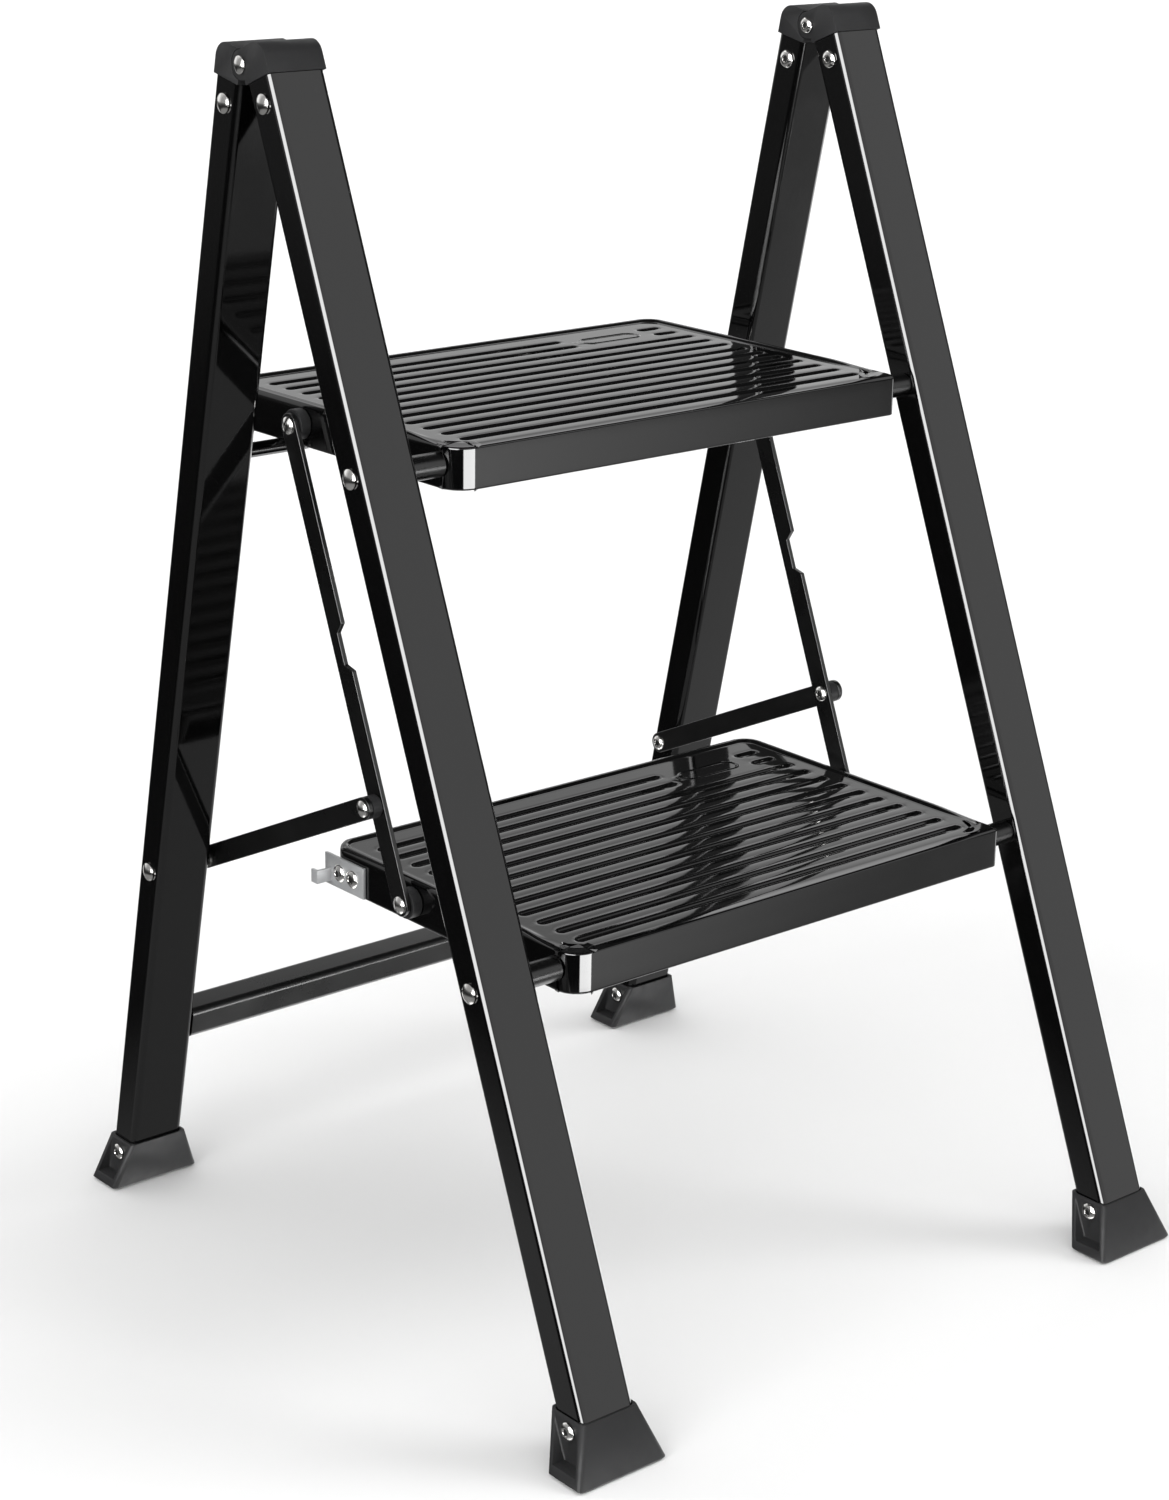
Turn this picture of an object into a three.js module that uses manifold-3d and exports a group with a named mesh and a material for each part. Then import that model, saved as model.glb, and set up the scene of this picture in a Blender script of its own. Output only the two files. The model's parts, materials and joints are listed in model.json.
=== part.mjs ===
// A folding two-step ladder in painted steel, standing open, in millimetres.
// X runs across the steps, Y runs from the front (-Y) to the rear (+Y) and Z points up.
// The origin lies on the ground at the middle of the footprint.
// The front frame carries both steps. The rear frame swings about two hinge pins at the top.
// A long link on each side joins the two steps, and a short link ties it to the rear leg.

import * as THREE from "three";
import { mergeVertices } from "three/addons/utils/BufferGeometryUtils.js";
import Module from "manifold-3d";

const wasm = await Module();
wasm.setup();

// ---------------------------------------------------------------- driving dimensions

const DEGREE = Math.PI / 180;
const GAP = 0.3; // clearance between faces that touch on the real object
const ROUND = 10; // sides of a small round part

const HINGE_HEIGHT = 634;
const FRONT_LEAN = 21.7 * DEGREE;
const REAR_LEAN = 11.9 * DEGREE;

const LEG_OUTER_X = 201;
const LEG_WIDTH = 32.4;
const LEG_DEPTH = 20;
const LEG_WALL = 1.5;
const LEG_CORNER = 3.5;
const LEG_INNER_X = LEG_OUTER_X - LEG_WIDTH;
const HINGE_SETBACK = 0.6; // from the hinge axis to the inner face of each leg
const LEG_OFFSET = HINGE_SETBACK + LEG_DEPTH / 2;
const LEG_START = 10 + GAP; // distances along a leg are measured down from the hinge axis

// Distances along the legs of what is fastened to them.
const CAP_RIVET_AT = 22;
const UPPER_PIVOT_AT = 202;
const LOWER_PIVOT_AT = 450.5;
const FRONT_FOOT_RIVET_AT = 663;
const REAR_FOOT_RIVET_AT = 630.5;
const BRACE_PIVOT_AT = 447.5;
const LOWER_CROSSBAR_AT = 550;

// Crossbars between the rear legs.
const LOWER_CROSSBAR_SIZE = 18;
const UPPER_CROSSBAR_RADIUS = 4;

// Steps: pressed pans that turn about a rod near their front edge.
const STEP_HALF_WIDTH = 148.5;
const STEP_FRONT = -13;
const STEP_REAR = 185;
const STEP_TOP = 10;
const STEP_BOTTOM = -12;
const STEP_SHEET = 1.5;
const STEP_FRONT_CORNER = 12;
const STEP_REAR_CORNER = 12;
const BEAD_WIDTH = 5.5;
const BEAD_HEIGHT = 1.5;
const BEAD_START = -7;
const GROOVES = 12;
const GROOVE_FIRST = 1.7;
const GROOVE_PITCH = 14.6;
const GROOVE_WIDTH = 5.6;
const GROOVE_DEPTH = 1.8;
const GROOVE_END = 134;
const PLAIN_ROWS = 2; // the rearmost grooves that stop short of a plain field
const PLAIN_FIELD = [61, 119];

// Links.
const ROD_RADIUS = 4;
const ROD_SPACER_RADIUS = 6.3;
const LINK_PIVOT_Y = 113; // behind each step's pivot
const LONG_LINK_X = [155, 157.5];
const LONG_LINK_WIDTH = 12.4;
const NOTCH_FROM = 103.5;
const NOTCH_TO = 128;
const NOTCH_DEPTH = 5.5;
const NOTCH_SLOPE = 4;
const BRACE_PIVOT_UP = 51.8; // up the long link from its lower pivot
const SHORT_LINK_X = [163.8, 166.3];
const SHORT_LINK_WIDTH = 12;

const LINK_SPACER_RADIUS = 8;
const BRACE_SPACER_RADIUS = 6;

// Rivets.
const SHANK_RADIUS = 2.5;
const SHANK_HOLE = 2.8;
const HEAD_RADIUS = 5;
const HEAD_HEIGHT = 2;
const SMALL_HEAD_RADIUS = 4.5;
const SMALL_HEAD_HEIGHT = 1.6;

// The spring catch on the lower step, from the step's pivot.
const CATCH = {
  plate: [153.8, 187.5, -11.3, 5.7],
  thickness: 1.5,
  rivetsAt: [163.7, 175.2],
  clinchRadius: 3,
  clinchSetback: 1.3,
  rivetZ: -2.9,
  tongueAt: 183.5,
  tongue: [-8.9, -1.6],
  reach: 9.2,
  lip: 3.8,
};

// Plastic feet. Flares and rims are measured from the leg's outer and inner faces.
const FOOT = {
  wall: 1.6,
  floor: 3.5,
  bottomEdge: 1.6,
  pocketFloor: 1.5,
  pocketInset: 2.2,
  pocketBottom: 6,
  pocketTop: 1.2,
  corner: 2.5,
};
const FRONT_FOOT = { height: 28.5, flareOutside: 11.3, flareInside: 11, rimOutside: 0.8, rimInside: 1.2 };
const REAR_FOOT = { height: 27.5, flareOutside: 11, flareInside: 11.6, rimOutside: 1.6, rimInside: 1.6 };

// Hinge caps.
const CAP_TOP = 7;
const CAP_PROUD = 0.4;
const CAP_CORNER = 8.5;
const CAP_PLUG_END = 34;
const CAP_PLUG_CLEARANCE = 0.8; // keeps the square plug clear of the tube's rounded corners
const EAR_RADIUS = 7.2;
const EAR_CLEARANCE = 0.4;
const EAR_WIDTH = 6.5;

// A leg's lowest corner stops just above the floor of its foot.
const legEnd = (lean) =>
  (HINGE_HEIGHT + HINGE_SETBACK * Math.sin(lean) - FOOT.floor - GAP) / Math.cos(lean);

// ---------------------------------------------------------------- finishes

const FINISHES = {
  enamel: { color: 0x0c0c0d, roughness: 0.12, metalness: 0.0 },
  plastic: { color: 0x1c1c1e, roughness: 0.55, metalness: 0.0 },
  nickel: { color: 0xc9ccd0, roughness: 0.22, metalness: 1.0 },
  zinc: { color: 0xb4b8bc, roughness: 0.38, metalness: 1.0 },
};

// ---------------------------------------------------------------- solids

// A closed three.js geometry as a solid that can be cut and joined.
function solid(geometry) {
  const bare = geometry.clone();
  bare.deleteAttribute("normal");
  bare.deleteAttribute("uv");
  const merged = mergeVertices(bare, 1e-4);
  return new wasm.Manifold(
    new wasm.Mesh({
      numProp: 3,
      vertProperties: merged.attributes.position.array,
      triVerts: new Uint32Array(merged.index.array),
    }),
  );
}

function joined(first, ...others) {
  return others.reduce((sum, other) => sum.add(other), first);
}

function cut(first, ...others) {
  return others.reduce((rest, other) => rest.subtract(other), first);
}

// The triangles of a solid.
function surface(body) {
  const mesh = body.getMesh();
  const geometry = new THREE.BufferGeometry();
  geometry.setAttribute("position", new THREE.BufferAttribute(mesh.vertProperties, 3));
  geometry.setIndex(new THREE.BufferAttribute(mesh.triVerts, 1));
  return geometry;
}

// A named mesh of a solid, with its own material.
function part(name, body, finish) {
  const geometry = surface(body);
  geometry.computeVertexNormals();
  const result = new THREE.Mesh(geometry, new THREE.MeshStandardMaterial(FINISHES[finish]));
  result.name = name;
  return result;
}

// The same solid on the other side of the plane X = 0 when side is -1.
function onSide(geometry, side) {
  if (side > 0) return solid(geometry);
  const bare = geometry.index ? geometry.toNonIndexed() : geometry.clone();
  const position = bare.attributes.position;
  for (let i = 0; i < position.count; i += 3) {
    for (const corner of [0, 1, 2]) position.setX(i + corner, -position.getX(i + corner));
    const [x, y, z] = [position.getX(i), position.getY(i), position.getZ(i)];
    position.setXYZ(i, position.getX(i + 1), position.getY(i + 1), position.getZ(i + 1));
    position.setXYZ(i + 1, x, y, z);
  }
  return solid(bare);
}

// An outline in (y, z) drawn out along X from x0 to x1.
function alongX(shape, x0, x1, curveSegments = 6) {
  const geometry = new THREE.ExtrudeGeometry(shape, {
    depth: x1 - x0,
    bevelEnabled: false,
    curveSegments,
  });
  const turn = new THREE.Matrix4().set(0, 0, 1, x0, 1, 0, 0, 0, 0, 1, 0, 0, 0, 0, 0, 1);
  return geometry.applyMatrix4(turn);
}

// An outline in (x, y) drawn out along Z from z0 to z1.
function alongZ(shape, z0, z1, curveSegments = 4) {
  const geometry = new THREE.ExtrudeGeometry(shape, {
    depth: z1 - z0,
    bevelEnabled: false,
    curveSegments,
  });
  return geometry.translate(0, 0, z0);
}

function roundX(radius, x0, x1, y = 0, z = 0, sides = ROUND) {
  const geometry = new THREE.CylinderGeometry(radius, radius, x1 - x0, sides);
  return geometry.rotateZ(Math.PI / 2).translate((x0 + x1) / 2, y, z);
}

function block(x0, x1, y0, y1, z0, z1) {
  const geometry = new THREE.BoxGeometry(x1 - x0, y1 - y0, z1 - z0);
  return geometry.translate((x0 + x1) / 2, (y0 + y1) / 2, (z0 + z1) / 2);
}

// A rectangle whose corners have their own radii, in the order
// low-low, high-low, high-high, low-high.
function roundedRectangle(x0, x1, y0, y1, radii) {
  const [a, b, c, d] = Array.isArray(radii) ? radii : [radii, radii, radii, radii];
  const shape = new THREE.Shape();
  shape.moveTo(x0 + a, y0);
  shape.lineTo(x1 - b, y0);
  shape.absarc(x1 - b, y0 + b, b, -Math.PI / 2, 0, false);
  shape.lineTo(x1, y1 - c);
  shape.absarc(x1 - c, y1 - c, c, 0, Math.PI / 2, false);
  shape.lineTo(x0 + d, y1);
  shape.absarc(x0 + d, y1 - d, d, Math.PI / 2, Math.PI, false);
  shape.lineTo(x0, y0 + a);
  shape.absarc(x0 + a, y0 + a, a, Math.PI, 1.5 * Math.PI, false);
  return shape;
}

// A straight-sided body between a rectangle at z0 and another at z1, with rounded uprights.
function taperedBlock(low, z0, high, z1, corner, segments = 3) {
  const ring = ({ x0, x1, y0, y1 }, z) => {
    const centres = [
      [x1 - corner, y1 - corner],
      [x0 + corner, y1 - corner],
      [x0 + corner, y0 + corner],
      [x1 - corner, y0 + corner],
    ];
    const points = [];
    centres.forEach(([cx, cy], quarter) => {
      for (let i = 0; i <= segments; i += 1) {
        const angle = (quarter + i / segments) * (Math.PI / 2);
        points.push([cx + corner * Math.cos(angle), cy + corner * Math.sin(angle), z]);
      }
    });
    return points;
  };
  const points = [...ring(low, z0), ...ring(high, z1)];
  const count = points.length / 2;
  const faces = [];
  for (let i = 0; i < count; i += 1) {
    const next = (i + 1) % count;
    faces.push(i, next, count + next, i, count + next, count + i);
    if (i > 1) faces.push(0, i, i - 1, count, count + i - 1, count + i);
  }
  const geometry = new THREE.BufferGeometry();
  geometry.setAttribute("position", new THREE.Float32BufferAttribute(points.flat(), 3));
  geometry.setIndex(faces);
  return geometry;
}

// ---------------------------------------------------------------- rivets

// A domed head on the outside of x, pointing away from x along direction.
function head(x, direction, radius, height, y = 0, z = 0) {
  const rim = 0.3 * height;
  const profile = [
    new THREE.Vector2(0, 0),
    new THREE.Vector2(radius, 0),
    new THREE.Vector2(radius, rim),
    new THREE.Vector2(0.6 * radius, height),
    new THREE.Vector2(0, height),
  ];
  const geometry = new THREE.LatheGeometry(profile, ROUND);
  geometry.rotateZ(direction > 0 ? -Math.PI / 2 : Math.PI / 2);
  return geometry.translate(x, y, z);
}

// A rivet along X with a head beyond each end of its grip.
function rivet(x0, x1, radius, height, y = 0, z = 0, shank = SHANK_RADIUS) {
  return joined(
    solid(roundX(shank, x0 - 0.5 * height, x1 + 0.5 * height, y, z)),
    solid(head(x0, -1, radius, height, y, z)),
    solid(head(x1, 1, radius, height, y, z)),
  );
}

// The stretch of X from near to far on the given side, in rising order.
function spanOn(side, near, far) {
  return side > 0 ? [near, far] : [-far, -near];
}

// ---------------------------------------------------------------- frames

// A group at the hinge axis, turned so that its -Z runs down the legs.
function legGroup(lean) {
  const group = new THREE.Group();
  group.position.set(0, 0, HINGE_HEIGHT);
  group.rotation.x = lean;
  return group;
}

// A hollow leg with holes through it at the given distances. In the group's frame the leg
// lies on the side of outward, -1 towards the front and +1 towards the rear.
function leg(side, outward, end, holes) {
  const [x0, x1] = spanOn(side, LEG_INNER_X, LEG_OUTER_X);
  const near = outward * HINGE_SETBACK;
  const far = outward * (HINGE_SETBACK + LEG_DEPTH);
  const [y0, y1] = [Math.min(near, far), Math.max(near, far)];
  const outside = roundedRectangle(x0, x1, y0, y1, LEG_CORNER);
  const inside = roundedRectangle(
    x0 + LEG_WALL,
    x1 - LEG_WALL,
    y0 + LEG_WALL,
    y1 - LEG_WALL,
    LEG_CORNER - LEG_WALL,
  );
  outside.holes.push(inside);
  const tube = solid(alongZ(outside, -end, -LEG_START, 3));
  const drills = holes.map(({ at, radius }) =>
    solid(roundX(radius, x0 - 1, x1 + 1, outward * LEG_OFFSET, -at)),
  );
  return cut(tube, ...drills);
}

// A hinge cap: a block over the end of the leg, a plug inside it, and ears around the pin.
// The front cap has two outer ears and the rear cap has one wide tongue between them.
function hingeCap(side, outward) {
  const [x0, x1] = spanOn(side, LEG_INNER_X - CAP_PROUD, LEG_OUTER_X + CAP_PROUD);
  const near = HINGE_SETBACK;
  const far = HINGE_SETBACK + LEG_DEPTH + CAP_PROUD;
  const outline = new THREE.Shape();
  outline.moveTo(near, -10);
  outline.lineTo(far, -10);
  outline.lineTo(far, CAP_TOP - CAP_CORNER);
  outline.absarc(far - CAP_CORNER, CAP_TOP - CAP_CORNER, CAP_CORNER, 0, Math.PI / 2, false);
  outline.lineTo(near + 1.5, CAP_TOP);
  outline.lineTo(near, CAP_TOP - 1.5);
  const flip = (geometry) => (outward > 0 ? solid(geometry) : solid(geometry.rotateZ(Math.PI)));
  const turned = (low, high) => (outward > 0 ? [low, high] : [-high, -low]);

  const cover = flip(alongX(outline, ...turned(x0, x1)));
  const inset = LEG_WALL + CAP_PLUG_CLEARANCE;
  const plug = flip(
    block(
      ...turned(x0 + CAP_PROUD + inset, x1 - CAP_PROUD - inset),
      near + inset,
      near + LEG_DEPTH - inset,
      -CAP_PLUG_END,
      -9,
    ),
  );
  const ears = [
    [x0, x0 + EAR_WIDTH],
    [x1 - EAR_WIDTH, x1],
  ];
  const tongue = [[x0 + EAR_WIDTH + GAP, x1 - EAR_WIDTH - GAP]];
  const own = outward < 0 ? ears : tongue;
  const other = outward < 0 ? [[x0 + EAR_WIDTH, x1 - EAR_WIDTH]] : [
    [x0 - 1, x0 + EAR_WIDTH + GAP],
    [x1 - EAR_WIDTH - GAP, x1 + 1],
  ];
  const room = other.map(([a, b]) => solid(roundX(EAR_RADIUS + EAR_CLEARANCE, a, b, 0, 0, 24)));
  const lugs = own.map(([a, b]) => solid(roundX(EAR_RADIUS, a, b, 0, 0, 24)));
  const body = joined(cut(joined(cover, plug), ...room), ...lugs);
  return cut(
    body,
    solid(roundX(SHANK_HOLE, x0 - 1, x1 + 1)),
    solid(roundX(SHANK_HOLE, x0 - 1, x1 + 1, outward * LEG_OFFSET, -CAP_RIVET_AT)),
  );
}

// A foot in the ground's frame, round a leg that leans by lean. Its front and rear faces
// run parallel to the leg, its ends flare out, and each end has a pocket for the rivet.
function foot(side, outward, lean, size, rivetAt) {
  const thickness = LEG_DEPTH / Math.cos(lean);
  const inner = (z) => (HINGE_HEIGHT - z) * Math.tan(lean) + HINGE_SETBACK / Math.cos(lean);
  const across = (z, inside, outside, margin) => ({
    x0: LEG_INNER_X - inside,
    x1: LEG_OUTER_X + outside,
    y0: inner(z) - margin,
    y1: inner(z) + thickness + margin,
  });
  const edge = FOOT.bottomEdge;
  const sole = across(0, size.flareInside - edge, size.flareOutside - edge, FOOT.wall - edge);
  const base = across(edge, size.flareInside, size.flareOutside, FOOT.wall);
  const rim = across(size.height, size.rimInside, size.rimOutside, FOOT.wall);
  const socketTop = size.height + 1;
  const socket = taperedBlock(
    across(FOOT.floor, GAP, GAP, GAP),
    FOOT.floor,
    across(socketTop, GAP, GAP, GAP),
    socketTop,
    LEG_CORNER,
  );
  const pocketHigh = size.height - FOOT.pocketTop;
  const pocket = (inside, outside) =>
    taperedBlock(
      across(FOOT.pocketBottom, inside, outside, -FOOT.pocketInset),
      FOOT.pocketBottom,
      across(pocketHigh, inside, outside, -FOOT.pocketInset),
      pocketHigh,
      1,
    );
  const pocketWall = GAP + FOOT.pocketFloor;
  const rivetZ = HINGE_HEIGHT + LEG_OFFSET * Math.sin(lean) - rivetAt * Math.cos(lean);
  const rivetY = LEG_OFFSET * Math.cos(lean) + rivetAt * Math.sin(lean);
  const body = cut(
    joined(
      solid(taperedBlock(sole, 0, base, edge, FOOT.corner)),
      solid(taperedBlock(base, edge, rim, size.height, FOOT.corner)),
    ),
    solid(socket),
    solid(pocket(-LEG_WIDTH - pocketWall, 20)),
    solid(pocket(20, -LEG_WIDTH - pocketWall)),
    solid(roundX(SHANK_HOLE, LEG_INNER_X - 20, LEG_OUTER_X + 20, rivetY, rivetZ)),
  );
  const geometry = surface(body).scale(side, outward, 1);
  return side === outward ? solid(geometry) : solid(reversed(geometry));
}

// The same triangles wound the other way.
function reversed(geometry) {
  const index = geometry.index;
  for (let i = 0; i < index.count; i += 3) {
    const first = index.getX(i);
    index.setX(i, index.getX(i + 1));
    index.setX(i + 1, first);
  }
  return geometry;
}

// ---------------------------------------------------------------- steps

// A slot outline with round ends, from x0 to x1 about the line y.
function slot(x0, x1, y, width) {
  return roundedRectangle(x0, x1, y - width / 2, y + width / 2, width / 2 - 0.01);
}

// A pressed pan: a grooved top, a bead along three edges, and a skirt all round.
function stepPan() {
  const corners = [STEP_FRONT_CORNER, STEP_FRONT_CORNER, STEP_REAR_CORNER, STEP_REAR_CORNER];
  const outline = (inset, front = STEP_FRONT + inset) =>
    roundedRectangle(
      -STEP_HALF_WIDTH + inset,
      STEP_HALF_WIDTH - inset,
      front,
      STEP_REAR - inset,
      corners.map((r) => r - inset),
    );
  const shell = cut(
    solid(alongZ(outline(0), STEP_BOTTOM, STEP_TOP + BEAD_HEIGHT)),
    solid(alongZ(outline(STEP_SHEET), STEP_BOTTOM - 1, STEP_TOP - STEP_SHEET)),
    solid(alongZ(outline(BEAD_WIDTH, STEP_FRONT - 20), STEP_TOP, STEP_TOP + 5)),
    solid(block(-200, 200, STEP_FRONT - 1, BEAD_START, STEP_TOP, STEP_TOP + 5)),
  );
  const ribs = [];
  const channels = [];
  for (let row = 0; row < GROOVES; row += 1) {
    const y = GROOVE_FIRST + row * GROOVE_PITCH;
    const plain = row >= GROOVES - PLAIN_ROWS;
    const stretches = plain
      ? [
          [-GROOVE_END, PLAIN_FIELD[0]],
          [PLAIN_FIELD[1], GROOVE_END],
        ]
      : [[-GROOVE_END, GROOVE_END]];
    for (const [x0, x1] of stretches) {
      const wall = STEP_SHEET;
      const low = STEP_TOP - GROOVE_DEPTH;
      const rib = slot(x0 - wall, x1 + wall, y, GROOVE_WIDTH + 2 * wall);
      ribs.push(solid(alongZ(rib, low - wall, STEP_TOP - wall / 2, 1)));
      channels.push(solid(alongZ(slot(x0, x1, y, GROOVE_WIDTH), low, STEP_TOP + 1, 1)));
    }
  }
  const holes = [
    solid(roundX(ROD_RADIUS + GAP, -STEP_HALF_WIDTH - 1, STEP_HALF_WIDTH + 1)),
    solid(roundX(SHANK_HOLE, -STEP_HALF_WIDTH - 1, STEP_HALF_WIDTH + 1, LINK_PIVOT_Y)),
  ];
  return cut(joined(shell, ...ribs), ...channels, ...holes);
}

// The spring catch: a plate on the side of the step with a tongue that jogs outwards and a lip.
function catchPlate(side) {
  const inner = STEP_HALF_WIDTH + GAP;
  const outer = inner + CATCH.thickness;
  const [y0, y1, z0, z1] = CATCH.plate;
  const [low, high] = CATCH.tongue;
  const lipX = inner + CATCH.reach;
  const tongueFront = CATCH.tongueAt - CATCH.thickness;
  const pieces = [
    block(inner, outer, y0, y1, z0, z1),
    block(inner, lipX + CATCH.thickness, tongueFront, CATCH.tongueAt, low, high),
    block(lipX, lipX + CATCH.thickness, tongueFront, CATCH.tongueAt + CATCH.lip, low, high),
  ];
  const holes = CATCH.rivetsAt.map((y) =>
    onSide(roundX(SHANK_HOLE, inner - 1, outer + 1, y, CATCH.rivetZ), side),
  );
  return cut(joined(...pieces.map((piece) => onSide(piece, side))), ...holes);
}

// ---------------------------------------------------------------- links

// A flat bar with round ends between a pivot at the origin and one at length below it.
function bar(length, width, xSpan, holes) {
  const r = width / 2;
  const outline = new THREE.Shape();
  outline.absarc(0, 0, r, 0, Math.PI, false);
  outline.absarc(0, -length, r, Math.PI, 2 * Math.PI, false);
  const drills = holes.map((at) => solid(roundX(SHANK_HOLE, xSpan[0] - 1, xSpan[1] + 1, 0, -at)));
  return cut(solid(alongX(outline, ...xSpan)), ...drills);
}

// The notch in the front edge of a long link, which clears the spacer of the upper step's rod.
function notch(xSpan) {
  const edge = -LONG_LINK_WIDTH / 2;
  const outline = new THREE.Shape();
  outline.moveTo(edge - 1, -NOTCH_FROM);
  outline.lineTo(edge - 1, -NOTCH_TO);
  outline.lineTo(edge, -NOTCH_TO);
  outline.lineTo(edge + NOTCH_DEPTH, -NOTCH_TO + NOTCH_SLOPE);
  outline.lineTo(edge + NOTCH_DEPTH, -NOTCH_FROM - NOTCH_SLOPE);
  outline.lineTo(edge, -NOTCH_FROM);
  return solid(alongX(outline, xSpan[0] - 1, xSpan[1] + 1));
}

// ---------------------------------------------------------------- places

// The point on a leg's centre line at a distance from the hinge, in (y, z).
function onLeg(outward, lean, at) {
  return {
    y: outward * (LEG_OFFSET * Math.cos(lean) + at * Math.sin(lean)),
    z: HINGE_HEIGHT + LEG_OFFSET * Math.sin(lean) - at * Math.cos(lean),
  };
}

const upperPivot = onLeg(-1, FRONT_LEAN, UPPER_PIVOT_AT);
const lowerPivot = onLeg(-1, FRONT_LEAN, LOWER_PIVOT_AT);
const bracePivot = onLeg(1, REAR_LEAN, BRACE_PIVOT_AT);
const longLinkTop = { y: upperPivot.y + LINK_PIVOT_Y, z: upperPivot.z };
const LONG_LINK_LENGTH = LOWER_PIVOT_AT - UPPER_PIVOT_AT;
const BRACE_AT = LONG_LINK_LENGTH - BRACE_PIVOT_UP;
const braceJoint = {
  y: longLinkTop.y - BRACE_AT * Math.sin(FRONT_LEAN),
  z: longLinkTop.z - BRACE_AT * Math.cos(FRONT_LEAN),
};
const BRACE_LENGTH = Math.hypot(bracePivot.y - braceJoint.y, bracePivot.z - braceJoint.z);
const BRACE_LEAN = Math.atan2(bracePivot.y - braceJoint.y, braceJoint.z - bracePivot.z);

// The upper crossbar lies across the rear legs, just under the skirts of the upper step.
const crossbarZ = upperPivot.z + STEP_BOTTOM - GAP - UPPER_CROSSBAR_RADIUS;
const UPPER_CROSSBAR_AT =
  (HINGE_HEIGHT + LEG_OFFSET * Math.sin(REAR_LEAN) - crossbarZ) / Math.cos(REAR_LEAN);

// The footprint's middle, which becomes Y = 0.
const reachOf = (lean) =>
  HINGE_HEIGHT * Math.tan(lean) + (HINGE_SETBACK + LEG_DEPTH) / Math.cos(lean);

const ladder = new THREE.Group();
ladder.position.y = (reachOf(FRONT_LEAN) - reachOf(REAR_LEAN)) / 2;
const SIDES = [
  ["left", -1],
  ["right", 1],
];

function groupAt({ y, z }, turn = 0) {
  const group = new THREE.Group();
  group.position.set(0, y, z);
  group.rotation.x = turn;
  return group;
}

// ---------------------------------------------------------------- front frame

const frontFrame = legGroup(-FRONT_LEAN);
for (const [label, side] of SIDES) {
  const holes = [
    { at: CAP_RIVET_AT, radius: SHANK_HOLE },
    { at: UPPER_PIVOT_AT, radius: ROD_RADIUS + GAP },
    { at: LOWER_PIVOT_AT, radius: ROD_RADIUS + GAP },
    { at: FRONT_FOOT_RIVET_AT, radius: SHANK_HOLE },
  ];
  frontFrame.add(part(`${label}_front_leg`, leg(side, -1, legEnd(FRONT_LEAN), holes), "enamel"));
  frontFrame.add(part(`${label}_front_hinge_cap`, hingeCap(side, -1), "plastic"));
  const grip = spanOn(side, LEG_INNER_X - CAP_PROUD - GAP, LEG_OUTER_X + CAP_PROUD + GAP);
  frontFrame.add(part(`${label}_hinge_pin`, rivet(...grip, SMALL_HEAD_RADIUS, HEAD_HEIGHT), "nickel"));
  const legGrip = spanOn(side, LEG_INNER_X - GAP, LEG_OUTER_X + GAP);
  frontFrame.add(
    part(
      `${label}_front_cap_rivet`,
      rivet(...legGrip, HEAD_RADIUS, HEAD_HEIGHT, -LEG_OFFSET, -CAP_RIVET_AT),
      "nickel",
    ),
  );
  const footGrip = spanOn(
    side,
    LEG_INNER_X - FOOT.pocketFloor - 2 * GAP,
    LEG_OUTER_X + FOOT.pocketFloor + 2 * GAP,
  );
  frontFrame.add(
    part(
      `${label}_front_foot_rivet`,
      rivet(...footGrip, HEAD_RADIUS, HEAD_HEIGHT, -LEG_OFFSET, -FRONT_FOOT_RIVET_AT),
      "nickel",
    ),
  );
  ladder.add(
    part(
      `${label}_front_foot`,
      foot(side, -1, FRONT_LEAN, FRONT_FOOT, FRONT_FOOT_RIVET_AT),
      "plastic",
    ),
  );
}
ladder.add(frontFrame);

for (const [label, pivot] of [
  ["upper", upperPivot],
  ["lower", lowerPivot],
]) {
  const group = groupAt(pivot);
  const grip = LEG_OUTER_X + GAP;
  group.add(
    part(`${label}_step_rod`, rivet(-grip, grip, HEAD_RADIUS, HEAD_HEIGHT, 0, 0, ROD_RADIUS), "nickel"),
  );
  for (const [sideLabel, side] of SIDES) {
    const span = spanOn(side, STEP_HALF_WIDTH + GAP, LEG_INNER_X - GAP);
    const spacer = cut(
      solid(roundX(ROD_SPACER_RADIUS, ...span, 0, 0, 20)),
      solid(roundX(ROD_RADIUS + GAP, span[0] - 1, span[1] + 1)),
    );
    group.add(part(`${label}_${sideLabel}_rod_spacer`, spacer, "enamel"));
  }
  ladder.add(group);
}

// ---------------------------------------------------------------- rear frame

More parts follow.
